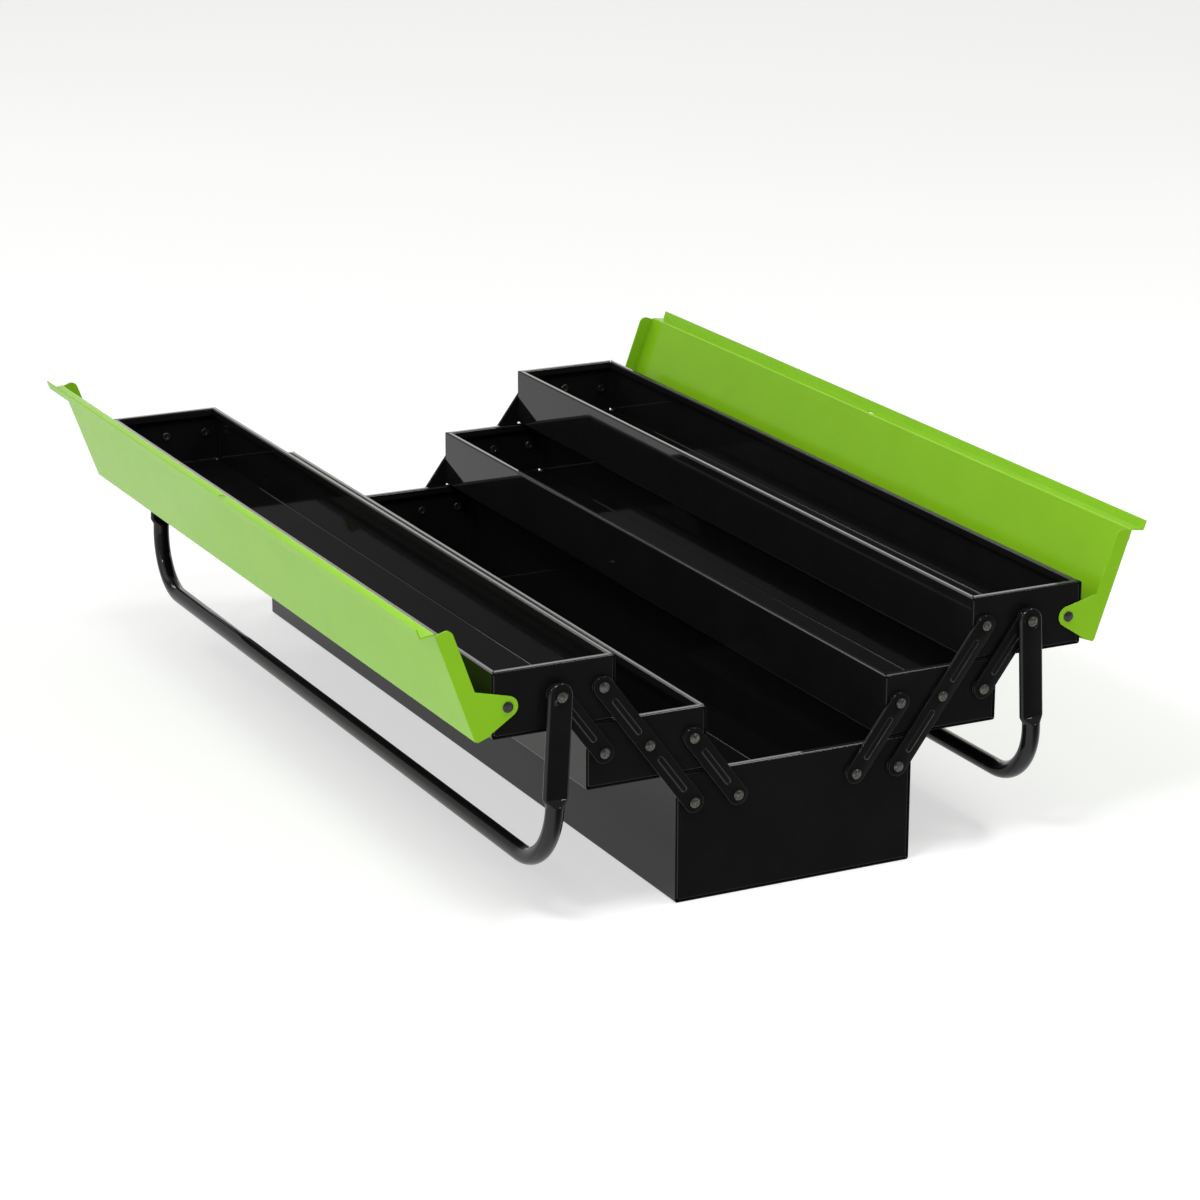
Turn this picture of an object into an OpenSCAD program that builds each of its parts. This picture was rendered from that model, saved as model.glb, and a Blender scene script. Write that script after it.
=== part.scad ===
// Cantilever tool box: a wide base tray, two pairs of smaller trays that swing out on
// riveted links, two folding lids and two tube handles. Drawn open, lids up, handles down.
// X runs along the length, -Y is the front pair of trays, Z is up, and z = 0 is the
// underside of the base. "right" is the +X end and "left" is the -X end.

/* [Trays] */
// Length of every tray over its end plates
body_len = 784; // [600:2:800]
// Width of the base tray
base_w = 200; // [196:1:210]
// Height of the base tray
base_h = 100; // [92:1:120]
// Width of each swinging tray
tray_w = 98; // [94:0.5:98]
// Thickness of the sheet steel
sheet = 1; // [0.8:0.1:1.2]
// Outer radius of the folds
bend_r = 2; // [1.6:0.1:2.4]
// Width of the flanges that tie the end plates in
flange_w = 10; // [6:1:14]
// Width of the folded rim on the long walls
rim_w = 5; // [4.5:0.1:6]
// Width of the folded rim on the end plates
rim_end_w = 6; // [5:0.1:7]
// Depth of the rim's return lip
rim_drop = 6; // [4:0.5:8]
// Outer radius of the rim's folds
rim_r = 1.5; // [1.4:0.1:1.8]

/* [Linkage] */
// Distance of the long link's base pivot from the middle of the box
pivot_y = 86.5; // [86:0.5:88]
// Height of the base pivots above the underside
pivot_z = 77.9; // [70:0.1:78]
// Rise from one row of pivots to the next, open or closed
link_rise = 50; // [50:0.5:52]
// Outward reach from one row of pivots to the next, open
link_reach = 37.2; // [36:0.1:38]
// Distance between the two pivots of a pair of links
link_gap = 36.4; // [35:0.1:37]
// Width of the links
link_w = 16; // [14:0.5:18]
// Thickness of the links
link_t = 2.5; // [2:0.1:3]
// Width of the stiffening bead pressed along the links
bead_w = 6; // [4:0.5:7]
// Height of the bead
bead_h = 0.8; // [0.4:0.1:1]

/* [Lids] */
// Lean of an open lid, outward from upright
lid_lean = 20; // [14:1:22]
// Distance of the lid pivot inside the tray's outer wall
lid_pivot_in = 12; // [12:0.5:13]
// Depth of the lid pivot below the tray's rim
lid_pivot_drop = 26.3; // [26:0.1:28]
// Depth of the lid's skirt and end flanges
lid_depth = 12.5; // [11:0.5:13]
// Height of the raised lip along the lid's inner edge
lip_h = 11; // [8:0.5:12]
// Width of the raised lip's flat top
lip_w = 7.8; // [6:0.1:10]
// Lean of the lip's upright towards the middle of the box
lip_lean = 12; // [0:1:14]
// Radius of the ear round the lid pivot
ear_r = 8; // [7:0.5:8.5]
// Length of the padlock slot in the lip
slot_len = 11; // [8:1:14]

/* [Handles] */
// Distance from the handle pivot to the middle of the grip bar
handle_drop = 135; // [130:1:140]
// Centre-line radius of the handle's bends
handle_bend = 52; // [46:1:54]
// Diameter of the handle tube
tube_d = 14; // [12:0.5:15]
// Width of the flattened ends
flat_w = 20; // [18:0.5:21]
// Thickness of the flattened ends
flat_t = 5; // [4:0.5:5]
// Outward tilt of a hanging handle
hang_tilt = 3; // [0:1:5]

/* [Rivets] */
// Diameter of the rivet shanks
rivet_d = 5; // [4:0.5:5.5]
// Diameter of the rivet heads
head_d = 8; // [7:0.5:9]
// Height of the rivet heads
head_h = 2.4; // [2:0.1:2.4]
// Height of the lid rivets' flatter heads
lid_head_h = 1.6; // [1.2:0.1:2.4]

/* [Hidden] */
$fn = 48;

black_paint = [0.03, 0.03, 0.035];
green_paint = [0.42, 0.72, 0.11];
rivet_steel = [0.30, 0.30, 0.30];

// Gaps: between stacked trays, between the closed trays, and round a pivoting piece.
stack_gap = 0.4;
middle_gap = 1.5;
play = 0.08;
rivet_play = 0.1;
half_len = body_len / 2;
tray_h = link_rise - stack_gap;

// Heights of the tray bottoms, and the outermost wall of each open tray.
mid_z = base_h + stack_gap;
upper_z = mid_z + link_rise;
mid_y = middle_gap / 2 + 2 * link_reach + tray_w / 2;
upper_y = middle_gap / 2 + 4 * link_reach + tray_w / 2;
upper_out = upper_y + tray_w / 2;

// Pivots as [y, z] on the back side, named for what they join.
base_long = [pivot_y, pivot_z];
base_short = [pivot_y - link_gap, pivot_z];
mid_long = [pivot_y + link_reach, pivot_z + link_rise];
mid_inner = [mid_long[0] - link_gap, mid_long[1]];
mid_outer = [mid_long[0] + link_gap, mid_long[1]];
upper_long = [pivot_y + 2 * link_reach, pivot_z + 2 * link_rise];
upper_outer = [upper_long[0] + link_gap, upper_long[1]];
lid_pivot = [upper_out - lid_pivot_in, upper_z + tray_h - lid_pivot_drop];
link_angle = atan2(link_reach, link_rise);
link_pitch = norm([link_reach, link_rise]);

// Layers outward from the end plates' outer face.
boss_h = 0.9;
boss_d = 15;
boss_slope = 1;
layer_gap = 0.3;
link_at = boss_h + layer_gap;
head_gap = 0.1;
leg_at = link_at + link_t + bead_h + 0.4;
lid_end_at = 0.4;
tail_h = 1.6;
tail_d = 8;
tail_bore_d = 3.2;

// Lid, drawn closed about its pivot: along is towards the middle, up is away from the tray.
lid_side_gap = 0.8;
lid_top_gap = 4.2;
lid_out = lid_pivot_in + lid_side_gap + sheet;
lid_up = lid_pivot_drop + lid_top_gap + sheet;
lid_half = half_len + lid_end_at + sheet;
lid_reach = lid_pivot[0] - 4 * link_reach - 0.5;
lid_fold_r = 1.5;
lid_corner_r = 6;
ear_inner = [22.4, lid_up - lid_depth];
ear_outer = [-lid_out + sheet, lid_up - lid_depth];
slot_h = 5;

// Centres of the lip's two bends: lip_foot ends the panel, lip_head starts the flat top.
lip_leg = (lip_h + sheet - 2 * lid_fold_r + (2 * lid_fold_r - sheet) * sin(lip_lean)) / cos(lip_lean);
lip_head = lid_reach - lip_w + lid_fold_r * tan(45 - lip_lean / 2);
lip_foot = lip_head - (2 * lid_fold_r - sheet) * cos(lip_lean) - lip_leg * sin(lip_lean);

// ---------------------------------------------------------------- helpers

// Mirrors a back-side piece to the front, and a right-hand piece to the left.
module side(name) { mirror([0, name == "front" ? 1 : 0, 0]) children(); }
module end(name) { mirror([name == "left" ? 1 : 0, 0, 0]) children(); }

// Quarter of a folded sheet, from +X round to +Y about the origin.
module fold(r) {
  intersection() {
    difference() {
      circle(r);
      circle(r - sheet);
    }
    square(r);
  }
}

// Extrudes a [y, z] outline along X, centred, and a [x, z] outline along Y.
module along_x(len) { rotate([90, 0, 90]) translate([0, 0, -len / 2]) linear_extrude(len) children(); }
module along_y(len) { rotate([90, 0, 0]) translate([0, 0, -len / 2]) linear_extrude(len) children(); }

// Cylinder along +X from x, centred on a pivot [y, z].
module pin(pivot, x, len, d) {
  translate([x, pivot[0], pivot[1]]) rotate([0, 90, 0]) cylinder(h = len, d = d);
}

// ---------------------------------------------------------------- trays

// Section of a rim: a fold at the outside, a flat top and a lip turned down inside.
module rim_section(width) {
  translate([-rim_r, -rim_r]) fold(rim_r);
  translate([-width + rim_r, -sheet]) square([width - 2 * rim_r, sheet]);
  translate([-width + rim_r, -rim_r]) rotate(90) fold(rim_r);
  translate([-width, -rim_drop]) square([sheet, rim_drop - rim_r]);
}

// Floor and long walls of a tray, folded from one sheet.
module channel(width, height) {
  difference() {
    along_x(body_len) union() {
      translate([-width / 2 + bend_r, 0]) square([width - 2 * bend_r, sheet]);
      for (m = [0, 1]) mirror([m, 0]) {
        translate([width / 2 - bend_r, bend_r]) rotate(-90) fold(bend_r);
        translate([width / 2 - sheet, bend_r]) square([sheet, height - bend_r - rim_r]);
        translate([width / 2, height]) rim_section(rim_w);
      }
    }
    for (mx = [0, 1], my = [0, 1]) mirror([mx, 0, 0]) mirror([0, my, 0]) rim_mitre(width, height);
  }
}

// Takes the rim's corner away, so that it meets the end plate's rim on a mitre.
module rim_mitre(width, height) {
  translate([half_len, width / 2, height - rim_drop - 1]) linear_extrude(rim_drop + 2)
    polygon([[1, -sheet], [-1.5, -sheet], [-rim_end_w - 0.6, -rim_w], [-rim_end_w - 0.6, -rim_w - 1],
      [1, -rim_w - 1]]);
}

// One end plate, with flanges on all four edges. Holes and bosses are pivots [y, z]
// measured from the tray's own centre and underside.
module end_plate(width, height, bosses, plain) {
  inner = width / 2 - sheet;
  difference() {
    union() {
      translate([half_len - sheet, -inner + bend_r, sheet + bend_r])
        cube([sheet, 2 * (inner - bend_r), height - sheet - bend_r - rim_r]);
      end_sides(inner, height);
      end_foot(inner);
      end_rim(width, height);
      for (p = bosses) boss(p);
    }
    for (p = concat(bosses, plain))
      pin(p, half_len - sheet - 1, sheet + boss_h + 2, rivet_d + 2 * rivet_play);
  }
}

// A round seat pressed outward round a pivot, so that the link stands off the plate.
module boss(pivot) {
  translate([half_len - 0.5, pivot[0], pivot[1]]) rotate([0, 90, 0]) {
    cylinder(h = 0.5, d = boss_d);
    translate([0, 0, 0.5]) cylinder(h = boss_h, d1 = boss_d, d2 = boss_d - 2 * boss_slope);
  }
}

// The upright flanges that lie against the long walls.
module end_sides(inner, height) {
  flange_h = height - sheet - bend_r - 2.5;
  for (m = [0, 1]) mirror([0, m, 0]) translate([half_len - bend_r, inner - bend_r, sheet + bend_r])
    linear_extrude(flange_h) union() {
      fold(bend_r);
      translate([-flange_w, bend_r - sheet]) square([flange_w, sheet]);
    }
}

// The flange that lies on the floor.
module end_foot(inner) {
  translate([half_len - bend_r, 0, sheet + bend_r]) along_y(2 * (inner - bend_r)) union() {
    rotate(-90) fold(bend_r);
    translate([-flange_w, -bend_r]) square([flange_w, sheet]);
  }
}

// The rim along the end plate's top edge, mitred at both ends.
module end_rim(width, height) {
  difference() {
    translate([half_len, 0, height]) along_y(width - 2 * sheet) rim_section(rim_end_w);
    for (m = [0, 1]) mirror([0, m, 0]) translate([half_len, width / 2, height - rim_drop - 1])
      linear_extrude(rim_drop + 2)
        polygon([[1, -sheet - 0.3], [0, -sheet - 0.6], [-rim_end_w - 1, -rim_w - 0.4],
          [-rim_end_w - 1, 1], [1, 1]]);
  }
}

// A pivot in the frame of a tray centred on y with its underside at z.
function in_tray(pivot, y, z) = [pivot[0] - y, pivot[1] - z];

module base_channel() { color(black_paint) channel(base_w, base_h); }
module base_end(name) {
  pivots = [for (p = [base_long, base_short], s = [-1, 1]) [s * p[0], p[1]]];
  color(black_paint) end(name) end_plate(base_w, base_h, pivots, []);
}
module mid_channel(name) {
  color(black_paint) side(name) translate([0, mid_y, mid_z]) channel(tray_w, tray_h);
}
module upper_channel(name) {
  color(black_paint) side(name) translate([0, upper_y, upper_z]) channel(tray_w, tray_h);
}
module mid_end(name, which) {
  pivots = [for (p = [mid_long, mid_inner, mid_outer]) in_tray(p, mid_y, mid_z)];
  color(black_paint) side(name) end(which) translate([0, mid_y, mid_z])
    end_plate(tray_w, tray_h, pivots, []);
}
module upper_end(name, which) {
  pivots = [for (p = [upper_long, upper_outer]) in_tray(p, upper_y, upper_z)];
  color(black_paint) side(name) end(which) translate([0, upper_y, upper_z])
    end_plate(tray_w, tray_h, pivots, [in_tray(lid_pivot, upper_y, upper_z)]);
}

// ---------------------------------------------------------------- rivets

// Half section of a rivet: radius across, length up from the end of its hollow tail.
module rivet_section(grip, head) {
  shank = tail_h + sheet + grip;
  dome_h = head / 2;
  dome_r = (pow(head_d / 2, 2) + pow(dome_h, 2)) / (2 * dome_h);
  difference() {
    union() {
      square([tail_d / 2, tail_h]);
      square([rivet_d / 2, shank + 0.5]);
      translate([0, shank]) square([head_d / 2, head - dome_h]);
      intersection() {
        translate([0, shank + head - dome_r]) circle(dome_r, $fn = 128);
        translate([0, shank + 0.5]) square([head_d / 2, head]);
      }
    }
    translate([-1, -1]) square([1 + tail_bore_d / 2, 1 + tail_h - 0.4]);
  }
}

// A rivet with its tail inside the end plate and its head outward of the grip.
module rivet(pivot, grip, head) {
  translate([half_len - sheet - tail_h, pivot[0], pivot[1]]) rotate([0, 90, 0]) rotate_extrude()
    rivet_section(grip, head);
}

// The same rivets at both ends of the box.
module rivets(pivots, grip, head = head_h) {
  color(rivet_steel) for (which = ["left", "right"], p = pivots) end(which)
    rivet(p, grip, head);
}

link_grip = link_at + link_t + head_gap;
module base_rivets() {
  for (name = ["front", "back"]) side(name) rivets([base_long, base_short], link_grip);
}
module mid_rivets(name) { side(name) rivets([mid_long, mid_inner, mid_outer], link_grip); }
module upper_rivets(name) { side(name) rivets([upper_long], link_grip); }
module lid_rivets(name) {
  side(name) rivets([lid_pivot], lid_end_at + sheet + head_gap, lid_head_h);
}
module handle_rivets(name) { side(name) rivets([upper_outer], leg_at + flat_t + head_gap); }

// ---------------------------------------------------------------- links

// A flat strap that stands on its first pivot and leans out to the open position,
// with a bead pressed between each pivot and the next.
module link(pivot, spans) {
  len = spans * link_pitch;
  bead_from = link_w - 1;
  translate([half_len + link_at, pivot[0], pivot[1]]) rotate([-link_angle, 0, 0]) difference() {
    union() {
      pin([0, 0], 0, link_t, link_w);
      pin([0, len], 0, link_t, link_w);
      translate([0, -link_w / 2, 0]) cube([link_t, link_w, len]);
      for (i = [0:spans - 1]) translate([0, 0, i * link_pitch]) {
        pin([0, bead_from], 0, link_t + bead_h, bead_w);
        pin([0, link_pitch - bead_from], 0, link_t + bead_h, bead_w);
        translate([0, -bead_w / 2, bead_from])
          cube([link_t + bead_h, bead_w, link_pitch - 2 * bead_from]);
      }
    }
    for (i = [0:spans]) pin([0, i * link_pitch], -1, link_t + 2, rivet_d + 2 * play);
  }
}
module long_link(name, which) { color(black_paint) side(name) end(which) link(base_long, 2); }
module lower_link(name, which) { color(black_paint) side(name) end(which) link(base_short, 1); }
module upper_link(name, which) { color(black_paint) side(name) end(which) link(mid_outer, 1); }

// ---------------------------------------------------------------- lids

// Touching point of a line from p to a circle about the origin, on the given side.
function tangent(p, r, turn) =
  let (a = atan2(p[1], p[0]) + turn * acos(r / norm(p))) [r * cos(a), r * sin(a)];

// A bend of the lip, less than a quarter turn, from the panel's or the flat top's direction.
module lip_bend(r) {
  intersection() {
    fold(r);
    polygon([[0, 0], [2 * r, 0], [2 * r, 2 * r], 2 * r * [cos(90 - lip_lean), sin(90 - lip_lean)]]);
  }
}

// Section of a closed lid: skirt, panel, upright of the lip and its flat top.
module lid_section() {
  r = lid_fold_r;
  translate([-lid_out, lid_up - lid_depth]) square([sheet, lid_depth - r]);
  translate([-lid_out + r, lid_up - r]) rotate(90) fold(r);
  translate([-lid_out + r, lid_up - sheet]) square([lip_foot + lid_out - r, sheet]);
  translate([lip_foot, lid_up - sheet + r]) {
    rotate(-90) lip_bend(r);
    rotate(-lip_lean) translate([r - sheet, 0]) square([sheet, lip_leg]);
  }
  translate([lip_head, lid_up + lip_h - r]) rotate(90) lip_bend(r);
  translate([lip_head, lid_up + lip_h - sheet]) square([lid_reach - lip_head, sheet]);
}

// Outline of an end flange, with the ear that reaches down to the pivot.
module lid_end_outline() {
  top = lid_up - lid_fold_r;
  low = lid_up - lid_depth;
  difference() {
    union() {
      translate([-lid_out + sheet, low]) square([lip_foot + lid_out - sheet - lid_corner_r, top - low]);
      translate([lip_foot - lid_corner_r, low + lid_corner_r]) circle(lid_corner_r);
      translate([lip_foot - lid_corner_r - 1, low + lid_corner_r])
        square([lid_corner_r + 1, top - low - lid_corner_r]);
      polygon([ear_outer, ear_inner, tangent(ear_inner, ear_r, -1), [0, 0], tangent(ear_outer, ear_r, 1)]);
      circle(ear_r);
    }
    circle(d = rivet_d + 2 * play);
  }
}

// A lid drawn closed about its pivot, then swung open.
module lid(name) {
  r = lid_fold_r;
  color(green_paint) side(name) translate([0, lid_pivot[0], lid_pivot[1]])
    rotate([-90 - lid_lean, 0, 0]) mirror([0, 1, 0]) difference() {
      union() {
        along_x(2 * (lid_half - r)) lid_section();
        for (which = ["left", "right"]) end(which) {
          translate([lid_half - sheet, 0, 0]) rotate([90, 0, 90]) linear_extrude(sheet)
            lid_end_outline();
          translate([lid_half - r, (lip_foot + r - lid_out) / 2, lid_up - r])
            along_y(lip_foot + lid_out - r) fold(r);
          translate([lid_half - r, -lid_out, lid_up - lid_depth]) cube([r, sheet, lid_depth - r]);
        }
      }
      for (s = [-1, 1]) translate([s * (slot_len - slot_h) / 2, 0, lid_up + 1 + slot_h / 2])
        rotate([-90, 0, 0]) cylinder(h = lid_reach, d = slot_h);
      translate([-(slot_len - slot_h) / 2, 0, lid_up + 1]) cube([slot_len - slot_h, lid_reach, slot_h]);
    }
}

// ---------------------------------------------------------------- handles

leg_x = half_len + leg_at + flat_t / 2;
crimp_len = 7;

// One flattened leg, from its round end down to the crimp where the tube begins.
module handle_leg() {
  flat_len = handle_drop - handle_bend - crimp_len;
  pin([0, 0], leg_x - flat_t / 2, flat_t, flat_w);
  translate([leg_x - flat_t / 2, -flat_w / 2, -flat_len]) cube([flat_t, flat_w, flat_len]);
  hull() {
    translate([leg_x - flat_t / 2, -flat_w / 2, -flat_len]) cube([flat_t, flat_w, 0.1]);
    translate([leg_x, 0, -flat_len - crimp_len]) cylinder(h = 0.1, d = tube_d, $fn = 32);
  }
}

// One bend of the tube, from the leg round to the grip bar.
module handle_corner() {
  translate([leg_x - handle_bend, 0, -handle_drop + handle_bend]) rotate([90, 0, 0])
    rotate([0, 0, -90]) rotate_extrude(angle = 90) translate([handle_bend, 0]) circle(d = tube_d);
}

// A handle drawn hanging from its pivots.
module handle(name) {
  color(black_paint) side(name) translate([0, upper_outer[0], upper_outer[1]])
    rotate([hang_tilt, 0, 0]) difference() {
      union() {
        for (which = ["left", "right"]) end(which) {
          handle_leg();
          handle_corner();
        }
        translate([-(leg_x - handle_bend), 0, -handle_drop]) rotate([0, 90, 0])
          cylinder(h = 2 * (leg_x - handle_bend), d = tube_d);
      }
      for (which = ["left", "right"]) end(which)
        pin([0, 0], leg_x - flat_t / 2 - 1, flat_t + 2, rivet_d + 2 * play);
    }
}

// ---------------------------------------------------------------- nodes

base_channel();
base_end("left");  // base_end_left
base_end("right");  // base_end_right
base_rivets();
mid_channel("front");  // front_mid_channel
mid_end("front", "left");  // front_mid_end_left
mid_end("front", "right");  // front_mid_end_right
mid_rivets("front");  // front_mid_rivets
upper_channel("front");  // front_upper_channel
upper_end("front", "left");  // front_upper_end_left
upper_end("front", "right");  // front_upper_end_right
upper_rivets("front");  // front_upper_rivets
lid_rivets("front");  // front_lid_rivets
handle_rivets("front");  // front_handle_rivets
long_link("front", "left");  // front_long_link_left
long_link("front", "right");  // front_long_link_right
lower_link("front", "left");  // front_lower_link_left
lower_link("front", "right");  // front_lower_link_right
upper_link("front", "left");  // front_upper_link_left
upper_link("front", "right");  // front_upper_link_right
lid("front");  // front_lid
handle("front");  // front_handle
mid_channel("back");  // back_mid_channel
mid_end("back", "left");  // back_mid_end_left
mid_end("back", "right");  // back_mid_end_right
mid_rivets("back");  // back_mid_rivets
upper_channel("back");  // back_upper_channel
upper_end("back", "left");  // back_upper_end_left
upper_end("back", "right");  // back_upper_end_right
upper_rivets("back");  // back_upper_rivets
lid_rivets("back");  // back_lid_rivets
handle_rivets("back");  // back_handle_rivets
long_link("back", "left");  // back_long_link_left
long_link("back", "right");  // back_long_link_right
lower_link("back", "left");  // back_lower_link_left
lower_link("back", "right");  // back_lower_link_right
upper_link("back", "left");  // back_upper_link_left
upper_link("back", "right");  // back_upper_link_right
lid("back");  // back_lid
handle("back");  // back_handle
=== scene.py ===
"""Looks for the long cantilever tool box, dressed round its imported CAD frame.

The folded trays, their end plates and the lids keep the frame's own solids and get painted
finishes. The links, the tube handles and the rivets are made here as finer meshes, each in
the place of the node it stands for. Sizes are in millimetres and in the frame's axes: +X
along the box, -Y towards the front pair of trays and +Z up.
"""

from __future__ import annotations

import logging
import math
from dataclasses import dataclass, field
from enum import Enum

import bmesh
import bpy
from mathutils import Matrix, Vector

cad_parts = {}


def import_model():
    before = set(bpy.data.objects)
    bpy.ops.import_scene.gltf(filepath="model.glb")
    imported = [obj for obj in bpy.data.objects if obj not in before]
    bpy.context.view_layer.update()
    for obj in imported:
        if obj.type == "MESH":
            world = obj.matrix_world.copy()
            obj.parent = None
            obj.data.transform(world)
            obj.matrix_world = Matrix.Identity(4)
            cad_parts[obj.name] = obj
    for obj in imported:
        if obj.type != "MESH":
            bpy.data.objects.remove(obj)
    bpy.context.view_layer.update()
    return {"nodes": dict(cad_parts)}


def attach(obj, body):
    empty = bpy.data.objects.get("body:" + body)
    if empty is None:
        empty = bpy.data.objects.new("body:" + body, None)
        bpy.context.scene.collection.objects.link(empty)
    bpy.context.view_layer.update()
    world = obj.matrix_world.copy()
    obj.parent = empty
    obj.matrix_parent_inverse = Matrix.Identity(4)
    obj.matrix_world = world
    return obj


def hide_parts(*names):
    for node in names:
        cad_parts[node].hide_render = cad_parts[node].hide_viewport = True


LOG = logging.getLogger("tool_box")
MM = 0.001

Loop = list[Vector]
Ring = list[bmesh.types.BMVert]
Colour = tuple[float, float, float]
Point = tuple[float, float, float]
Profile = tuple[tuple[float, float], ...]
# A place along a tube: its centre, its turn in radians, its half width and half thickness.
Station = tuple[Vector, float, float, float]


class Choice(Enum):
    """Options whose names are part of the frame's own names."""

    @property
    def word(self) -> str:
        """The option's name as the frame writes it."""
        return self.name.lower()


class Side(Choice):
    """The two halves of the box, with the sign of their Y."""

    FRONT = -1
    BACK = 1


class End(Choice):
    """The two ends of the box, with the sign of their X."""

    LEFT = -1
    RIGHT = 1


class LinkKind(Choice):
    """The kinds of link: the level and place across of the lower pivot, and the steps spanned."""

    LONG = (0, 0, 2)
    LOWER = (0, -1, 1)
    UPPER = (1, 1, 1)

    @property
    def foot(self) -> tuple[int, int]:
        """The level and place across of the lower pivot, as Linkage.pivot takes them."""
        return self.value[:2]

    @property
    def spans(self) -> int:
        """How many steps from tray to tray the link spans."""
        return self.value[2]


# ---------------------------------------------------------------------------
# Node and mesh helpers
# ---------------------------------------------------------------------------


@dataclass(frozen=True)
class Grain:
    """A noise on the object.

    It holds the size of the features in millimetres, how many finer layers they have, how
    strong those are, and the two values between which it spreads from nothing to full.
    """

    size: float
    detail: float
    roughness: float
    low: float = 0.0
    high: float = 1.0


class Shader:
    """A material's node tree, with short calls to add and join nodes."""

    def __init__(self, name: str) -> None:
        """Starts a material with a Principled shader.

        Args:
            name: the material's name.
        """
        self.material = bpy.data.materials.new(name)
        self.material.use_nodes = True
        self.tree = self.material.node_tree
        self.tree.nodes.clear()
        self.surface = self.add("ShaderNodeBsdfPrincipled")
        self.join(self.surface, "BSDF", self.add("ShaderNodeOutputMaterial"), "Surface")

    def add(self, kind: str, **settings: object) -> bpy.types.Node:
        """Adds a node.

        Args:
            kind: the node's type name.
            settings: attributes to set on it.

        Returns:
            The new node.
        """
        node = self.tree.nodes.new(kind)
        for key, value in settings.items():
            setattr(node, key, value)
        return node

    def join(self, start: bpy.types.Node, out: str | int, end: bpy.types.Node, into: str | int) -> None:
        """Links an output to an input."""
        self.tree.links.new(start.outputs[out], end.inputs[into])

    def place(self) -> bpy.types.Node:
        """Adds the node that gives a point's place on the object, in metres."""
        return self.add("ShaderNodeTexCoord")

    def noise(self, place: bpy.types.Node, grain: Grain) -> bpy.types.Node:
        """Adds a noise.

        Args:
            place: the coordinate node.
            grain: the noise's size and layers.

        Returns:
            The noise node.
        """
        node = self.add("ShaderNodeTexNoise")
        node.inputs["Scale"].default_value = 1.0 / (grain.size * MM)
        node.inputs["Detail"].default_value = grain.detail
        node.inputs["Roughness"].default_value = grain.roughness
        self.join(place, "Object", node, "Vector")
        return node

    def remap(self, source: bpy.types.Node, out: str | int, spread: tuple[float, float],
              result: tuple[float, float]) -> bpy.types.Node:
        """Adds a clamped change of range.

        Args:
            source: the node that gives the number.
            out: its output.
            spread: the two numbers that become the two results.
            result: the two results.

        Returns:
            The range node.
        """
        node = self.add("ShaderNodeMapRange")
        for slot, value in zip(("From Min", "From Max", "To Min", "To Max"), (*spread, *result)):
            node.inputs[slot].default_value = value
        self.join(source, out, node, "Value")
        return node

    def spread(self, place: bpy.types.Node, grain: Grain, low: float = 0.0,
               high: float = 1.0) -> bpy.types.Node:
        """Adds a noise and spreads it over a range.

        Args:
            place: the coordinate node.
            grain: the noise.
            low: the lowest result.
            high: the highest result.

        Returns:
            The range node.
        """
        return self.remap(self.noise(place, grain), 0, (grain.low, grain.high), (low, high))

    def combine(self, how: str, a: bpy.types.Node, b: bpy.types.Node) -> bpy.types.Node:
        """Adds a sum of two numbers.

        Args:
            how: the kind of sum, such as MULTIPLY.
            a: the node whose first output is the first number.
            b: the node whose first output is the second number.

        Returns:
            The sum's node.
        """
        node = self.add("ShaderNodeMath", operation=how)
        for into, source in enumerate((a, b)):
            self.join(source, 0, node, into)
        return node

    def mix(self, factor: bpy.types.Node, a: Colour, b: Colour) -> bpy.types.Node:
        """Adds a mix of two colours.

        Args:
            factor: the node whose first output is the share of b.
            a: the first colour.
            b: the second colour.

        Returns:
            The mix node.
        """
        node = self.add("ShaderNodeMix", data_type="RGBA")
        for socket, value in zip(self.colours_in(node), (a, b)):
            socket.default_value = (*value, 1.0)
        self.join(factor, 0, node, 0)
        return node

    def colours_in(self, node: bpy.types.Node) -> list[bpy.types.NodeSocket]:
        """The two colour inputs of a mix node."""
        return [socket for socket in node.inputs if socket.type == "RGBA"]

    def colour_out(self, node: bpy.types.Node) -> bpy.types.NodeSocket:
        """The colour output of a mix node."""
        return next(socket for socket in node.outputs if socket.type == "RGBA")

    def paint(self, node: bpy.types.Node) -> None:
        """Gives the surface a mix node's colour."""
        self.tree.links.new(self.colour_out(node), self.surface.inputs["Base Color"])

    def bump(self, height: bpy.types.Node, depth: float,
             before: bpy.types.Node | None = None) -> bpy.types.Node:
        """Adds a bump.

        Args:
            height: the node whose first output gives the height, from 0 to 1.
            depth: the height in millimetres.
            before: a bump to build on.

        Returns:
            The bump node.
        """
        node = self.add("ShaderNodeBump")
        node.inputs["Strength"].default_value = 1.0
        node.inputs["Distance"].default_value = depth * MM
        self.join(height, 0, node, "Height")
        if before is not None:
            self.join(before, "Normal", node, "Normal")
        return node


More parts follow.
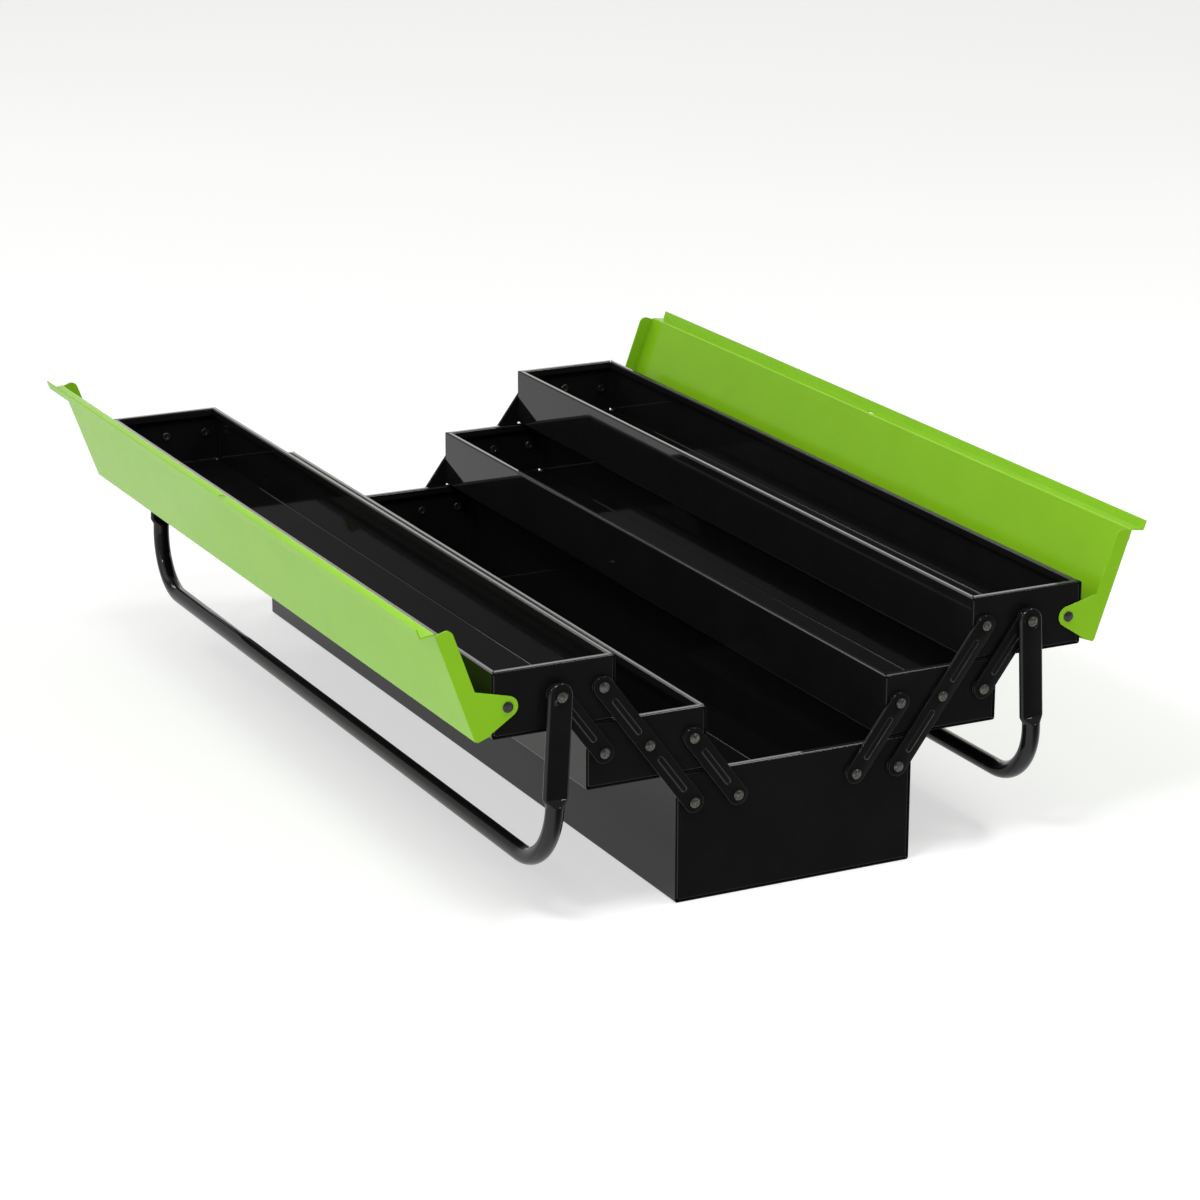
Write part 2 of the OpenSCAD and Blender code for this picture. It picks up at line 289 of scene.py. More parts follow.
class MeshMaker:
    """Collects rings of points and the faces between them into one mesh piece."""

    def __init__(self) -> None:
        """Starts an empty mesh."""
        self.bm = bmesh.new()

    def ring(self, points: Loop) -> Ring:
        """Adds a ring of vertices, in millimetres."""
        return [self.bm.verts.new(p * MM) for p in points]

    def bridge(self, a: Ring, b: Ring) -> None:
        """Joins two rings of equal length with quads.

        Args:
            a: the first ring.
            b: the second ring.
        """
        count = len(a)
        for i in range(count):
            j = (i + 1) % count
            self.bm.faces.new((a[i], a[j], b[j], b[i]))

    def skin(self, rings: list[Ring]) -> None:
        """Joins each ring to the next."""
        for a, b in zip(rings, rings[1:]):
            self.bridge(a, b)

    def cap(self, ring: Ring) -> None:
        """Closes a ring with one face."""
        self.bm.faces.new(ring)

    def fan(self, ring: Ring, tip: Vector) -> None:
        """Closes a ring with triangles to a point.

        Args:
            ring: the ring to close.
            tip: the point, in millimetres.
        """
        top = self.bm.verts.new(tip * MM)
        for i, vert in enumerate(ring):
            self.bm.faces.new((vert, ring[(i + 1) % len(ring)], top))

    def fill(self, rings: list[Ring]) -> None:
        """Fills the flat area inside one ring and outside the others.

        Args:
            rings: the outline first, then the holes.
        """
        edges = []
        for ring in rings:
            for i, vert in enumerate(ring):
                other = ring[(i + 1) % len(ring)]
                edges.append(self.bm.edges.get((vert, other)) or self.bm.edges.new((vert, other)))
        bmesh.ops.triangle_fill(self.bm, use_beauty=True, use_dissolve=False, edges=edges)

    def finish(self, name: str, smooth_below: float = 40.0,
               place: Matrix | None = None) -> bpy.types.Object:
        """Turns what was collected into an object.

        Args:
            name: the piece's name.
            smooth_below: edges sharper than this many degrees stay crisp.
            place: a matrix in metres to move the mesh by.

        Returns:
            The new object, at the frame's origin.
        """
        if place is not None:
            self.bm.transform(place)
        bmesh.ops.recalc_face_normals(self.bm, faces=self.bm.faces)
        mesh = bpy.data.meshes.new(name)
        self.bm.to_mesh(mesh)
        self.bm.free()
        mesh.polygons.foreach_set("use_smooth", [True] * len(mesh.polygons))
        mesh.set_sharp_from_angle(angle=math.radians(smooth_below))
        obj = bpy.data.objects.new(name, mesh)
        bpy.context.scene.collection.objects.link(obj)
        return obj


def stadium(start: float, end: float, radius: float, height: float, arc: int = 16) -> Loop:
    """Points round a strap's outline, in the strap's own axes.

    Args:
        start: where the first round end is centred, along the strap.
        end: where the second round end is centred.
        radius: half the strap's width.
        height: the points' height off the strap's inner face.
        arc: steps in each round end.

    Returns:
        The points, with x as height, y across and z along.
    """
    points = []
    for middle, turn in ((end, 0.0), (start, math.pi)):
        for i in range(arc + 1):
            angle = turn + math.pi * i / arc
            points.append(Vector((height, radius * math.cos(angle), middle + radius * math.sin(angle))))
    return points


def circle(centre: Point, radius: float, steps: int = 32) -> Loop:
    """Points round a circle that faces along X.

    Args:
        centre: the circle's centre.
        radius: its radius.
        steps: how many points it has.

    Returns:
        The points.
    """
    x, y, z = centre
    turns = [math.tau * i / steps for i in range(steps)]
    return [Vector((x, y + radius * math.cos(turn), z + radius * math.sin(turn))) for turn in turns]


def mirror(side: Side, end: End) -> Matrix:
    """The matrix that carries a back, right-hand piece to its own side and end."""
    return Matrix.Diagonal((end.value, side.value, 1.0, 1.0))


def dress(nodes: dict[str, bpy.types.Object], names: list[str], finish: bpy.types.Material) -> None:
    """Gives CAD nodes a finish.

    Args:
        nodes: the frame's nodes by name.
        names: the nodes to dress.
        finish: the material.
    """
    for name in names:
        for slot in nodes[name].material_slots:
            slot.material = finish
        LOG.info("dressed %s in %s", name, finish.name)


# ---------------------------------------------------------------------------
# Finishes
# ---------------------------------------------------------------------------


@dataclass(frozen=True)
class PowderCoat:
    """Gloss powder coat on sheet steel, with the slight orange peel of a cured coat.

    The gloss runs from the clean coat's roughness to the dull one's where hands have
    smudged it. The lacquer is a clear gloss that comes in at a slant, and the edge gloss
    is where the coat builds up on rounded edges, found by how far the surface leans from
    the box's length.
    """

    name: str
    colour: Colour
    shade: Colour
    dust: Colour
    gloss: float
    dull: float
    ior: float
    lacquer: float = 0.0
    lacquer_ior: float = 1.40
    edge: float = 0.0
    wave_depth: float = 0.05
    peel_depth: float = 0.004
    dust_cover: float = 0.35
    tone: Grain = Grain(45.0, 4.0, 0.60, 0.35, 0.65)
    speck: Grain = Grain(1.3, 1.0, 0.40, 0.74, 0.80)
    smudge: Grain = Grain(26.0, 5.0, 0.62, 0.40, 0.72)
    wave: Grain = Grain(60.0, 1.0, 0.30)
    peel: Grain = Grain(2.2, 2.0, 0.45)
    slant: tuple[float, float] = (0.20, 0.55)
    edge_rise: tuple[float, float] = (0.10, 0.30)
    edge_fall: tuple[float, float] = (0.88, 0.985)

    def material(self) -> bpy.types.Material:
        """Builds the finish's nodes.

        Returns:
            The material.
        """
        shader = Shader(self.name)
        place = shader.place()
        body = shader.mix(shader.spread(place, self.tone), self.colour, self.shade)
        dusty = shader.mix(shader.spread(place, self.speck, high=self.dust_cover), self.colour, self.dust)
        shader.tree.links.new(shader.colour_out(body), shader.colours_in(dusty)[0])
        shader.paint(dusty)
        smudged = shader.spread(place, self.smudge, self.gloss, self.dull)
        shader.join(smudged, 0, shader.surface, "Roughness")
        wave = shader.bump(shader.noise(place, self.wave), self.wave_depth)
        peel = shader.bump(shader.noise(place, self.peel), self.peel_depth, wave)
        shader.join(peel, 0, shader.surface, "Normal")
        shader.surface.inputs["IOR"].default_value = self.ior
        if self.lacquer > 0.0:
            self._lacquer(shader)
        return shader.material

    def _lacquer(self, shader: Shader) -> None:
        """Adds the clear gloss at a slant and on rounded edges.

        Args:
            shader: the finish being built.
        """
        facing = shader.add("ShaderNodeLayerWeight")
        facing.inputs["Blend"].default_value = 0.5
        slanting = shader.remap(facing, "Facing", self.slant, (0.0, self.lacquer))
        split = shader.add("ShaderNodeSeparateXYZ")
        shader.join(shader.add("ShaderNodeNewGeometry"), "Normal", split, 0)
        along = shader.add("ShaderNodeMath", operation="ABSOLUTE")
        shader.join(split, "X", along, 0)
        rising = shader.remap(along, 0, self.edge_rise, (0.0, self.edge))
        falling = shader.remap(along, 0, self.edge_fall, (1.0, 0.0))
        weight = shader.combine("MAXIMUM", slanting, shader.combine("MULTIPLY", rising, falling))
        shader.join(weight, 0, shader.surface, "Coat Weight")
        shader.surface.inputs["Coat IOR"].default_value = self.lacquer_ior
        shader.surface.inputs["Coat Roughness"].default_value = self.gloss


@dataclass(frozen=True)
class RivetSteel:
    """Dull dark steel of a set rivet, with mottled staining and fine scuffs."""

    name: str
    bright: Colour
    stain: Colour
    metal: float = 0.85
    polished: float = 0.22
    worn: float = 0.38
    scuff_depth: float = 0.02
    mottle: Grain = Grain(1.6, 4.0, 0.65, 0.38, 0.64)
    wear: Grain = Grain(1.1, 3.0, 0.60, 0.35, 0.70)
    scuff: Grain = Grain(0.5, 3.0, 0.60)

    def material(self) -> bpy.types.Material:
        """Builds the finish's nodes.

        Returns:
            The material.
        """
        shader = Shader(self.name)
        place = shader.place()
        shader.paint(shader.mix(shader.spread(place, self.mottle), self.bright, self.stain))
        worn = shader.spread(place, self.wear, self.polished, self.worn)
        shader.join(worn, 0, shader.surface, "Roughness")
        scuffed = shader.bump(shader.noise(place, self.scuff), self.scuff_depth)
        shader.join(scuffed, 0, shader.surface, "Normal")
        shader.surface.inputs["Metallic"].default_value = self.metal
        return shader.material


@dataclass(frozen=True)
class PaleFloor:
    """Plain pale studio floor, lit a little from beneath like a light table."""

    name: str
    colour: Colour
    glow: float = 0.56
    unevenness: float = 0.015
    tone: Grain = Grain(900.0, 2.0, 0.50, 0.30, 0.70)
    roughness: float = 0.9
    specular: float = 0.1

    def material(self) -> bpy.types.Material:
        """Builds the finish's nodes.

        Returns:
            The material.
        """
        shader = Shader(self.name)
        darker = tuple((1.0 - self.unevenness) * channel for channel in self.colour)
        shader.paint(shader.mix(shader.spread(shader.place(), self.tone), self.colour, darker))
        shader.surface.inputs["Roughness"].default_value = self.roughness
        shader.surface.inputs["Specular IOR Level"].default_value = self.specular
        shader.surface.inputs["Emission Color"].default_value = (1.0, 1.0, 1.0, 1.0)
        shader.surface.inputs["Emission Strength"].default_value = self.glow
        return shader.material


@dataclass
class Finishes:
    """The finishes that the box wears, built once and shared."""

    black: bpy.types.Material = field(
        default_factory=PowderCoat(
            "gloss_black_coat", (0.0064, 0.0064, 0.0065), (0.0078, 0.0078, 0.0078), (0.022, 0.022, 0.021),
            gloss=0.04, dull=0.11, ior=1.06, lacquer=0.66, edge=0.85,
        ).material
    )
    green: bpy.types.Material = field(
        default_factory=PowderCoat(
            "lime_green_coat", (0.243, 0.522, 0.014), (0.230, 0.502, 0.012), (0.35, 0.66, 0.10),
            gloss=0.12, dull=0.22, ior=1.16, wave_depth=0.03,
        ).material
    )
    steel: bpy.types.Material = field(
        default_factory=RivetSteel(
            "dark_rivet_steel", (0.115, 0.110, 0.099), (0.034, 0.032, 0.028),
        ).material
    )
    black_steel: bpy.types.Material = field(
        default_factory=RivetSteel(
            "black_rivet_steel", (0.045, 0.045, 0.046), (0.022, 0.022, 0.022), metal=0.7,
        ).material
    )


# ---------------------------------------------------------------------------
# Sub-assemblies
# ---------------------------------------------------------------------------


@dataclass
class Linkage:
    """Where the links turn, on the back side, as the open box stands."""

    half_length: float = 392.0
    base_long: tuple[float, float] = (86.5, 77.9)
    reach: float = 37.2
    rise: float = 50.0
    spacing: float = 36.4
    lid_pivot: tuple[float, float] = (235.55, 173.7)

    @property
    def lean(self) -> float:
        """The links' lean from upright, in radians."""
        return math.atan2(self.reach, self.rise)

    @property
    def pitch(self) -> float:
        """The distance between two pivots of a link."""
        return math.hypot(self.reach, self.rise)

    def pivot(self, level: int, across: int) -> tuple[float, float]:
        """A pivot's place.

        Args:
            level: 0 for the base tray, 1 for the middle tray and 2 for the upper tray.
            across: 0 on the long link, -1 towards the box's middle and 1 away from it.

        Returns:
            The pivot's y and z.
        """
        y, z = self.base_long
        return (y + level * self.reach + across * self.spacing, z + level * self.rise)


@dataclass
class FoldedTray:
    """A tray of one folded sheet and two end plates, which keep their CAD solids."""

    name: str
    nodes: dict[str, bpy.types.Object]

    def build(self, finishes: Finishes) -> None:
        """Dresses the tray's three plates."""
        parts = [f"{self.name}_channel", f"{self.name}_end_left", f"{self.name}_end_right"]
        dress(self.nodes, parts, finishes.black)


@dataclass
class FoldingLid:
    """A lid of one folded sheet, which keeps its CAD solid."""

    side: Side
    nodes: dict[str, bpy.types.Object]

    def build(self, finishes: Finishes) -> None:
        """Dresses the lid."""
        dress(self.nodes, [f"{self.side.word}_lid"], finishes.green)


@dataclass
class StrapLink:
    """A flat strap with round ends, drilled at its pivots and stiffened by pressed beads.

    The bead's profile gives, step by step, how far it has come in from its foot in
    millimetres and the share of its height that it has reached.
    """

    node: str
    body: str
    side: Side
    end: End
    pivot: tuple[float, float]
    spans: int
    linkage: Linkage
    inner_face: float = 1.2
    thickness: float = 2.5
    width: float = 16.0
    edge: float = 0.45
    edge_steps: int = 3
    bore: float = 2.58
    bead_width: float = 6.0
    bead_height: float = 0.8
    bead_from: float = 15.0
    bead_profile: Profile = ((0.0, 0.0), (0.35, 0.06), (0.7, 0.30), (1.0, 0.62), (1.35, 0.88), (1.8, 1.0))
    smooth_below: float = 35.0

    def build(self, finishes: Finishes) -> bpy.types.Object:
        """Makes the link in the place of its node.

        Args:
            finishes: the box's finishes.

        Returns:
            The link.
        """
        pivots = [i * self.linkage.pitch for i in range(self.spans + 1)]
        maker = MeshMaker()
        sides = self._sides(maker, pivots[-1])
        bores_in = [maker.ring(circle((0.0, 0.0, along), self.bore)) for along in pivots]
        bores_out = [maker.ring(circle((self.thickness, 0.0, along), self.bore)) for along in pivots]
        for low, high in zip(bores_in, bores_out):
            maker.bridge(low, high)
        feet = [self._bead(maker, along) for along in pivots[:-1]]
        maker.fill([sides[0], *bores_in])
        maker.fill([sides[-1], *bores_out, *feet])
        lean = Matrix.Rotation(-self.linkage.lean, 4, "X")
        stand = Matrix.Translation(Vector((self.linkage.half_length + self.inner_face, *self.pivot)) * MM)
        place = mirror(self.side, self.end) @ stand @ lean
        link = maker.finish(f"{self.node}_strap", self.smooth_below, place)
        link.data.materials.append(finishes.black)
        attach(link, self.body)
        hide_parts(self.node)
        LOG.info("made %s", link.name)
        return link

    def _sides(self, maker: MeshMaker, length: float) -> list[Ring]:
        """Adds the strap's edge, rounded at both faces.

        Args:
            maker: the mesh being made.
            length: the distance between the outer pivots.

        Returns:
            The edge's rings, from the inner face to the outer one.
        """
        turns = [math.pi / 2 * i / self.edge_steps for i in range(self.edge_steps + 1)]
        low = [(self.width / 2 + self.edge * (math.sin(turn) - 1), self.edge * (1 - math.cos(turn)))
               for turn in turns]
        high = [(radius, self.thickness - height) for radius, height in reversed(low)]
        rings = [maker.ring(stadium(0.0, length, radius, height)) for radius, height in low + high]
        maker.skin(rings)
        return rings

    def _bead(self, maker: MeshMaker, start: float) -> Ring:
        """Adds one raised bead.

        Args:
            maker: the mesh being made.
            start: the place along the strap of the pivot before the bead.

        Returns:
            The ring at the bead's foot.
        """
        first, last = start + self.bead_from, start + self.linkage.pitch - self.bead_from
        rings = []
        for inset, rise in self.bead_profile:
            radius, height = self.bead_width / 2 - inset, self.thickness + self.bead_height * rise
            rings.append(maker.ring(stadium(first, last, radius, height)))
        maker.skin(rings)
        maker.cap(rings[-1])
        return rings[0]


@dataclass
class TubeHandle:
    """A tube bent into a bail, with its ends pressed flat, rounded and drilled.

    The tip's fullness is the most that its rounded edge may be thick, as a share of its
    width. The bar's places are shares of the way from the middle to the bend.
    """

    side: Side
    linkage: Linkage
    leg_plane: float = 7.4
    drop: float = 135.0
    bend: float = 52.0
    tube: float = 14.0
    flat_width: float = 20.0
    flat_thickness: float = 5.0
    crimp: float = 7.0
    bore: float = 2.58
    tilt: float = 3.0
    tip_fullness: float = 0.9
    tip_steps: int = 12
    flat_steps: int = 8
    crimp_steps: int = 12
    bend_steps: int = 24
    bar_places: tuple[float, ...] = (0.66, 0.33, 0.0)
    around: int = 48
    smooth_below: float = 50.0

    def build(self, finishes: Finishes) -> bpy.types.Object:
        """Makes the handle in the place of its node.

        Args:
            finishes: the box's finishes.

        Returns:
            The handle.
        """
        half = self.linkage.half_length + self.leg_plane
        maker = MeshMaker()
        rings = [maker.ring(self._section(*station)) for station in self._stations(half)]
        maker.skin(rings)
        maker.cap(rings[0])
        maker.cap(rings[-1])
        y, z = self.linkage.pivot(2, 1)
        hang = Matrix.Rotation(math.radians(self.tilt), 4, "X")
        stand = Matrix.Translation(Vector((0.0, y, z)) * MM)
        place = mirror(self.side, End.RIGHT) @ stand @ hang
        handle = maker.finish(f"{self.side.word}_bail", self.smooth_below, place)
        self._drill(handle, half, (self.side.value * y, z))
        handle.data.materials.append(finishes.black)
        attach(handle, f"{self.side.word}_handle")
        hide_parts(f"{self.side.word}_handle")
        LOG.info("made %s", handle.name)
        return handle

    def _stations(self, half: float) -> list[Station]:
        """Places along the tube.

        Args:
            half: the distance from the box's middle to the legs' middle plane.

        Returns:
            The stations, from one tip to the other.
        """
        flat_w, flat_t, round_r = self.flat_width / 2, self.flat_thickness / 2, self.tube / 2
        flat_end = self.drop - self.bend - self.crimp
        leg: list[tuple[float, float, float]] = []
        for i in range(1, self.tip_steps + 1):
            angle = math.pi / 2 * i / self.tip_steps
            width = flat_w * math.sin(angle)
            leg.append((flat_w * math.cos(angle), width, min(flat_t, width * self.tip_fullness)))
        leg += [(-flat_end * i / self.flat_steps, flat_w, flat_t) for i in range(1, self.flat_steps + 1)]
        for i in range(1, self.crimp_steps + 1):
            share = i / self.crimp_steps
            ease = share * share * (3 - 2 * share)
            leg.append((-flat_end - self.crimp * share, flat_w + (round_r - flat_w) * ease,
                        flat_t + (round_r - flat_t) * ease))
        stations = [(Vector((half, 0.0, z)), 0.0, w, t) for z, w, t in leg]
        centre = Vector((half - self.bend, 0.0, self.bend - self.drop))
        for i in range(1, self.bend_steps + 1):
            angle = math.pi / 2 * i / self.bend_steps
            out = Vector((math.cos(angle), 0.0, -math.sin(angle)))
            stations.append((centre + self.bend * out, angle, round_r, round_r))
        bar = half - self.bend
        stations += [(Vector((bar * place, 0.0, -self.drop)), math.pi / 2, round_r, round_r)
                     for place in self.bar_places]
        flip = [(Vector((-c.x, c.y, c.z)), math.pi - turn, w, t)
                for c, turn, w, t in reversed(stations[:-1])]
        return stations + flip

    def _section(self, centre: Vector, turn: float, half_width: float, half_thickness: float) -> Loop:
        """A rounded section across the tube, from flat strip to full round.

        Args:
            centre: the section's middle.
            turn: how far the tube has turned from hanging straight, in radians.
            half_width: half its size along Y.
            half_thickness: half its size across the tube's own plane.

        Returns:
            The points round it.
        """
        out = Vector((math.cos(turn), 0.0, -math.sin(turn)))
        straight = half_width - half_thickness
        points = []
        for i in range(self.around):
            angle = math.tau * (i + 0.5) / self.around
            across = half_thickness * math.sin(angle) + math.copysign(straight, math.sin(angle))
            points.append(centre + half_thickness * math.cos(angle) * out + Vector((0.0, across, 0.0)))
        return points

    def _drill(self, handle: bpy.types.Object, half: float, pivot: tuple[float, float]) -> None:
        """Cuts the rivet holes through both flattened ends.

        Args:
            handle: the handle, in its place.
            half: the distance from the box's middle to the legs' middle plane.
            pivot: the pivot's y and z.
        """
        maker = MeshMaker()
        for end in End:
            rings = [maker.ring(circle((end.value * half + x, *pivot), self.bore))
                     for x in (-self.flat_thickness, self.flat_thickness)]
            maker.bridge(*rings)
            for ring in rings:
                maker.cap(ring)
        drill = maker.finish("drill")
        cut = handle.modifiers.new("cut", "BOOLEAN")
        cut.operation, cut.object, cut.solver = "DIFFERENCE", drill, "EXACT"
        scene_as_cut = bpy.context.evaluated_depsgraph_get()
        shape = bpy.data.meshes.new_from_object(handle.evaluated_get(scene_as_cut))
        handle.modifiers.remove(cut)
        handle.data = shape
        bpy.data.objects.remove(drill)


@dataclass
class RivetSet:
    """The set rivets of one node: hollow tails inside, domed heads outside.

    The tail's profile gives the place outward from the end of the body's length and the
    radius, from the bottom of the hollow to the flare's outer side. The head stands on a
    skirt with a small chamfer.
    """

    node: str
    body: str
    sides: tuple[Side, ...]
    pivots: tuple[tuple[float, float], ...]
    grip: float
    linkage: Linkage
    head_height: float
    painted: bool
    head: float = 4.0
    shank: float = 2.5
    skirt_share: float = 0.45
    chamfer: tuple[float, float] = (0.1, 0.15)
    tail: Profile = (
        (-2.2, 1.45), (-2.42, 1.6), (-2.55, 1.75), (-2.6, 2.0), (-2.6, 3.2),
        (-2.52, 3.6), (-2.3, 3.88), (-2.0, 4.0), (-1.0, 4.0),
    )
    dome_steps: int = 9
    around: int = 40
    smooth_below: float = 38.0

    def build(self, finishes: Finishes) -> bpy.types.Object:
        """Makes the rivets in the place of their node.

        Args:
            finishes: the box's finishes.

        Returns:
            The rivets, as one piece.
        """
        maker = MeshMaker()
        for side in self.sides:
            for end in End:
                for y, z in self.pivots:
                    self._rivet(maker, end.value, side.value * y, z)
        rivets = maker.finish(f"{self.node}_set", self.smooth_below)
        rivets.data.materials.append(finishes.black_steel if self.painted else finishes.steel)
        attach(rivets, self.body)
        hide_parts(self.node)
        LOG.info("made %s", rivets.name)
        return rivets

    def _profile(self) -> list[tuple[float, float]]:
        """The rivet's outline.

        Returns:
            Outward place and radius, step by step from the tail's hollow to the dome.
        """
        at, high = self.grip, self.head_height
        skirt = high * self.skirt_share
        up, inward = self.chamfer
        shank = [(self.tail[-1][0], self.shank), (at, self.shank)]
        seat = [(at, self.head - inward), (at + up, self.head), (at + skirt, self.head)]
        radius = (self.head**2 + (high - skirt) ** 2) / (2 * (high - skirt))
        reach = math.asin(self.head / radius)
        dome = []
        for i in range(1, self.dome_steps):
            angle = reach * (1 - i / self.dome_steps)
            dome.append((at + high - radius * (1 - math.cos(angle)), radius * math.sin(angle)))
        return [*self.tail, *shank, *seat, *dome]

    def _rivet(self, maker: MeshMaker, sign: int, y: float, z: float) -> None:
        """Adds one rivet.

        Args:
            maker: the mesh being made.
            sign: the sign of the end's X.
            y: the rivet's place across the box.
            z: its height.
        """
        face, top = self.linkage.half_length, self.grip + self.head_height
        rings = [maker.ring(circle((sign * (face + out), y, z), radius, self.around))
                 for out, radius in self._profile()]
        maker.skin(rings)
        maker.fan(rings[0], Vector((sign * (face + self.tail[0][0]), y, z)))
        maker.fan(rings[-1], Vector((sign * (face + top), y, z)))


# ---------------------------------------------------------------------------
# Studio
# ---------------------------------------------------------------------------


@dataclass(frozen=True)
class Softbox:
    """A square of soft light, in metres and watts, aimed at the middle of the box by default."""

    name: str
    place: Point
    width: float
    height: float
    power: float
    aim: Point = (0.0, 0.0, 0.15)
    tint: Colour = (1.0, 1.0, 1.0)

    def build(self) -> None:
        """Hangs the light."""
        light = bpy.data.lights.new(self.name, "AREA")
        light.shape, light.size, light.size_y = "RECTANGLE", self.width, self.height
        light.energy, light.color = self.power, self.tint
        obj = bpy.data.objects.new(self.name, light)
        obj.location = self.place
        obj.rotation_mode = "QUATERNION"
        obj.rotation_quaternion = (Vector(self.aim) - Vector(self.place)).to_track_quat("-Z", "Y")
        obj.visible_camera = False
        bpy.context.scene.collection.objects.link(obj)
        LOG.info("hung %s", self.name)


@dataclass
class Studio:
    """A pale floor, soft lights and the photograph's camera.

    The horizon and zenith are the strengths of the light from level and from above, and
    the far and near sides scale it from the left-hand end of the box to the right-hand one.
    """

    azimuth: float = 63.09
    elevation: float = 17.49
    roll: float = 0.16
    distance: float = 3063.6
    target: Point = (0.0, 0.0, 148.0)
    shift_right: float = 32.6
    shift_up: float = -37.4
    focal_pixels: float = 3719.0
    frame_pixels: float = 1200.0
    sensor: float = 36.0
    clip: tuple[float, float] = (0.1, 60.0)
    horizon: float = 0.90
    zenith: float = 0.32
    far_side: float = 1.2
    near_side: float = 0.4
    floor_reach: float = 14000.0
    floor_drop: float = 0.4
    floor: PaleFloor = PaleFloor("pale_floor", (0.55, 0.55, 0.545))
    lights: tuple[Softbox, ...] = (
        Softbox("front_softbox", (-1.0, -3.1, 2.3), 3.0, 2.5, 20.0),
        Softbox("back_softbox", (-7.2, 3.7, 2.6), 5.0, 1.4, 26.0, tint=(1.0, 0.95, 0.88)),
        Softbox("top_softbox", (0.9, 1.3, 2.6), 0.9, 0.5, 24.0),
        Softbox("left_softbox", (-3.0, -1.05, 2.4), 1.2, 0.6, 18.0),
        Softbox("near_spot", (0.62, -0.6, 1.3), 0.4, 0.3, 9.0, aim=(0.2, 0.2, 0.15)),
        Softbox("right_spot", (2.8, 1.55, 1.45), 0.2, 0.15, 4.0),
        Softbox("front_spot", (0.3, -3.1, 2.5), 0.25, 0.25, 8.0),
        Softbox("rear_spot", (-0.6, 3.4, 0.7), 1.0, 0.3, 6.0),
    )

    def build(self) -> None:
        """Sets the camera, the lights, the floor and the surroundings."""
        self._camera()
        for light in self.lights:
            light.build()
        self._floor()
        self._surroundings()
        bpy.context.scene.view_settings.view_transform = "Standard"

    def _surroundings(self) -> None:
        """Surrounds the box with soft white light that dims towards the ceiling and the near end."""
        world = bpy.data.worlds.new("studio_air")
        world.use_nodes = True
        tree = world.node_tree
        way = tree.nodes.new("ShaderNodeTexCoord")
        split = tree.nodes.new("ShaderNodeSeparateXYZ")
        both = tree.nodes.new("ShaderNodeMath")
        both.operation = "MULTIPLY"
        air = tree.nodes["Background"]
        air.inputs["Color"].default_value = (1.0, 1.0, 1.0, 1.0)
        tree.links.new(way.outputs["Generated"], split.inputs[0])
        tree.links.new(both.outputs[0], air.inputs["Strength"])
        dimming = (("Z", 0.0, self.horizon, self.zenith), ("X", -1.0, self.far_side, self.near_side))
        for into, (axis, start, strong, weak) in enumerate(dimming):
            level = tree.nodes.new("ShaderNodeMapRange")
            for slot, value in (("From Min", start), ("To Min", strong), ("To Max", weak)):
                level.inputs[slot].default_value = value
            tree.links.new(split.outputs[axis], level.inputs["Value"])
            tree.links.new(level.outputs[0], both.inputs[into])
        bpy.context.scene.world = world

    def _camera(self) -> None:
        """Places the camera where the photograph was taken from."""
        a, e, roll = (math.radians(v) for v in (self.azimuth, self.elevation, self.roll))
        back = Vector((math.sin(a) * math.cos(e), -math.cos(a) * math.cos(e), math.sin(e)))
        level = Vector((math.cos(a), math.sin(a), 0.0))
        upright = back.cross(level)
        right = math.cos(roll) * level + math.sin(roll) * upright
        up = math.cos(roll) * upright - math.sin(roll) * level
        data = bpy.data.cameras.new("photo_camera")
        data.sensor_width = self.sensor
        data.lens = self.focal_pixels / self.frame_pixels * self.sensor
        data.clip_start, data.clip_end = self.clip
        camera = bpy.data.objects.new("photo_camera", data)
        place = Vector(self.target) + back * self.distance + right * self.shift_right + up * self.shift_up
        turn = Matrix((right, up, back)).transposed().to_4x4()
        camera.matrix_world = Matrix.Translation(place * MM) @ turn
        bpy.context.scene.collection.objects.link(camera)
        bpy.context.scene.camera = camera
        LOG.info("set the camera")

    def _floor(self) -> None:
        """Lays the floor just under the base tray."""
        maker = MeshMaker()
        corners = ((-1, -1), (1, -1), (1, 1), (-1, 1))
        maker.cap(maker.ring([Vector((x * self.floor_reach, y * self.floor_reach, -self.floor_drop))
                              for x, y in corners]))
        floor = maker.finish("studio_floor")
        floor.data.materials.append(self.floor.material())
        LOG.info("laid the floor")


# ---------------------------------------------------------------------------
# The whole box
# ---------------------------------------------------------------------------


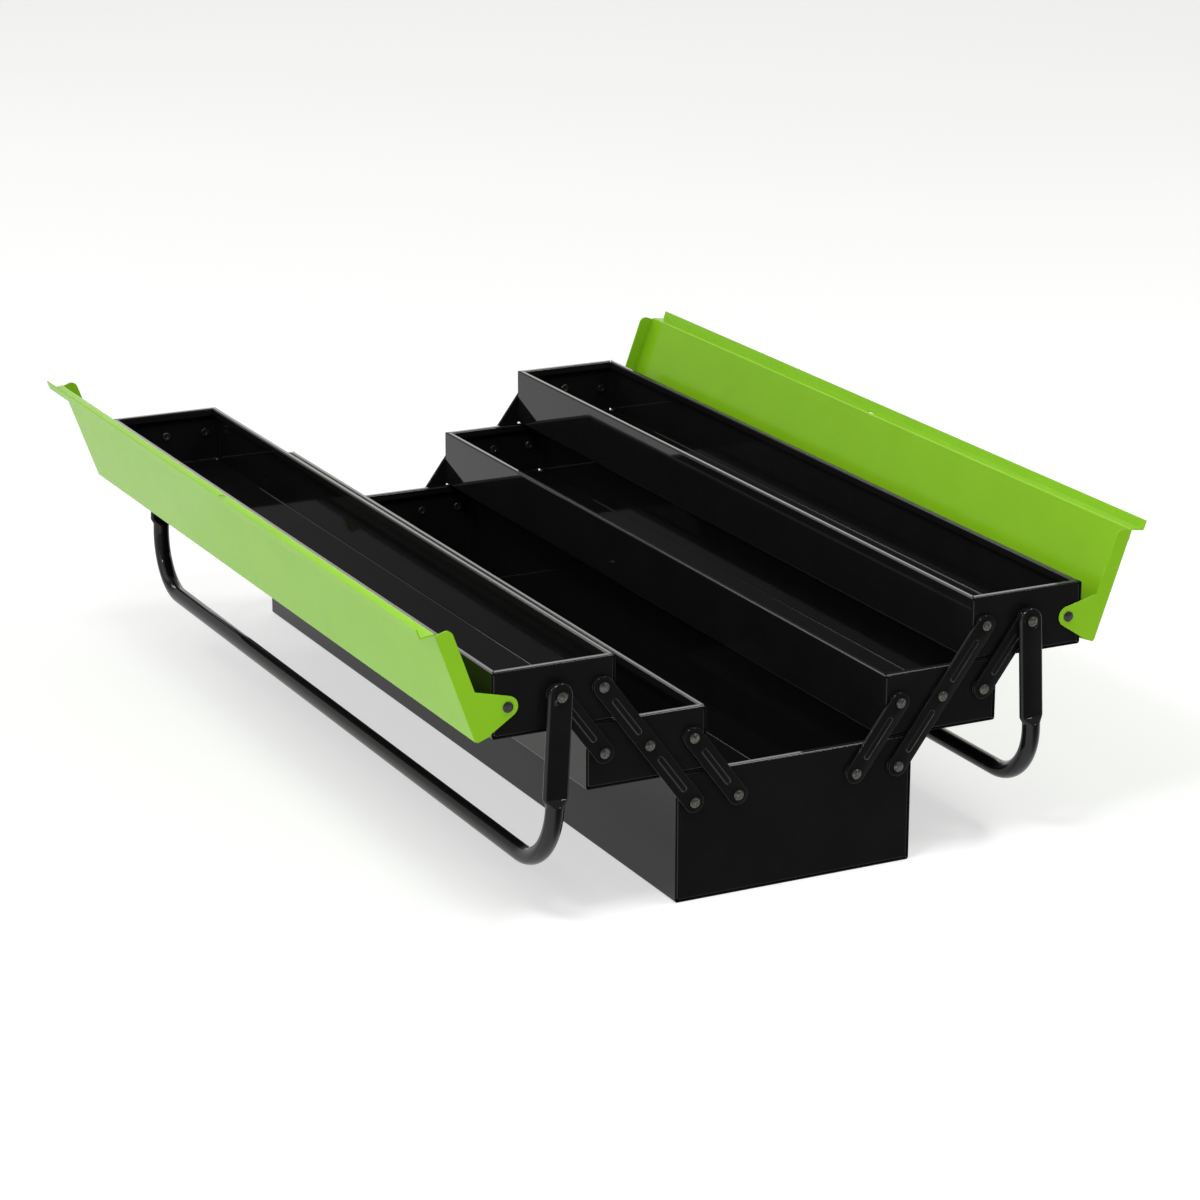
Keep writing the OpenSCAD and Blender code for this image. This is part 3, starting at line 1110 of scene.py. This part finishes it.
@dataclass
class ToolBox:
    """The cantilever tool box: base, two folding sides, lids, handles and rivets."""

    nodes: dict[str, bpy.types.Object]
    finishes: Finishes = field(default_factory=Finishes)
    linkage: Linkage = field(default_factory=Linkage)
    link_grip: float = 3.8
    handle_grip: float = 10.0
    head_height: float = 2.4
    lid_grip: float = 1.5
    lid_head_height: float = 1.6

    def build(self) -> None:
        """Builds every sub-assembly in order."""
        FoldedTray("base", self.nodes).build(self.finishes)
        at = self.linkage.pivot
        self._link_rivets("base_rivets", "base", tuple(Side), at(0, 0), at(0, -1))
        for side in Side:
            self._side(side)

    def _side(self, side: Side) -> None:
        """Builds the trays, links, lid, handle and rivets of one side.

        Args:
            side: the side to build.
        """
        word, at = side.word, self.linkage.pivot
        FoldedTray(f"{word}_mid", self.nodes).build(self.finishes)
        FoldedTray(f"{word}_upper", self.nodes).build(self.finishes)
        for end in End:
            for kind in LinkKind:
                StrapLink(f"{word}_{kind.word}_link_{end.word}", f"{word}_{kind.word}_links", side, end,
                          at(*kind.foot), kind.spans, self.linkage).build(self.finishes)
        FoldingLid(side, self.nodes).build(self.finishes)
        TubeHandle(side, self.linkage).build(self.finishes)
        upper = f"{word}_upper_tray"
        self._link_rivets(f"{word}_mid_rivets", f"{word}_mid_tray", (side,), at(1, 0), at(1, -1), at(1, 1))
        self._link_rivets(f"{word}_upper_rivets", upper, (side,), at(2, 0))
        RivetSet(f"{word}_handle_rivets", upper, (side,), (at(2, 1),), self.handle_grip, self.linkage,
                 self.head_height, painted=False).build(self.finishes)
        RivetSet(f"{word}_lid_rivets", upper, (side,), (self.linkage.lid_pivot,), self.lid_grip,
                 self.linkage, self.lid_head_height, painted=True).build(self.finishes)

    def _link_rivets(self, node: str, body: str, sides: tuple[Side, ...],
                     *pivots: tuple[float, float]) -> None:
        """Builds the rivets of one node that hold links."""
        RivetSet(node, body, sides, pivots, self.link_grip, self.linkage, self.head_height,
                 painted=False).build(self.finishes)


def main() -> None:
    """Loads the frame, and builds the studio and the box."""
    logging.basicConfig(level=logging.INFO, format="%(name)s: %(message)s")
    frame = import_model()
    Studio().build()
    ToolBox(frame["nodes"]).build()
    bpy.context.view_layer.update()


if __name__ == "__main__":
    main()
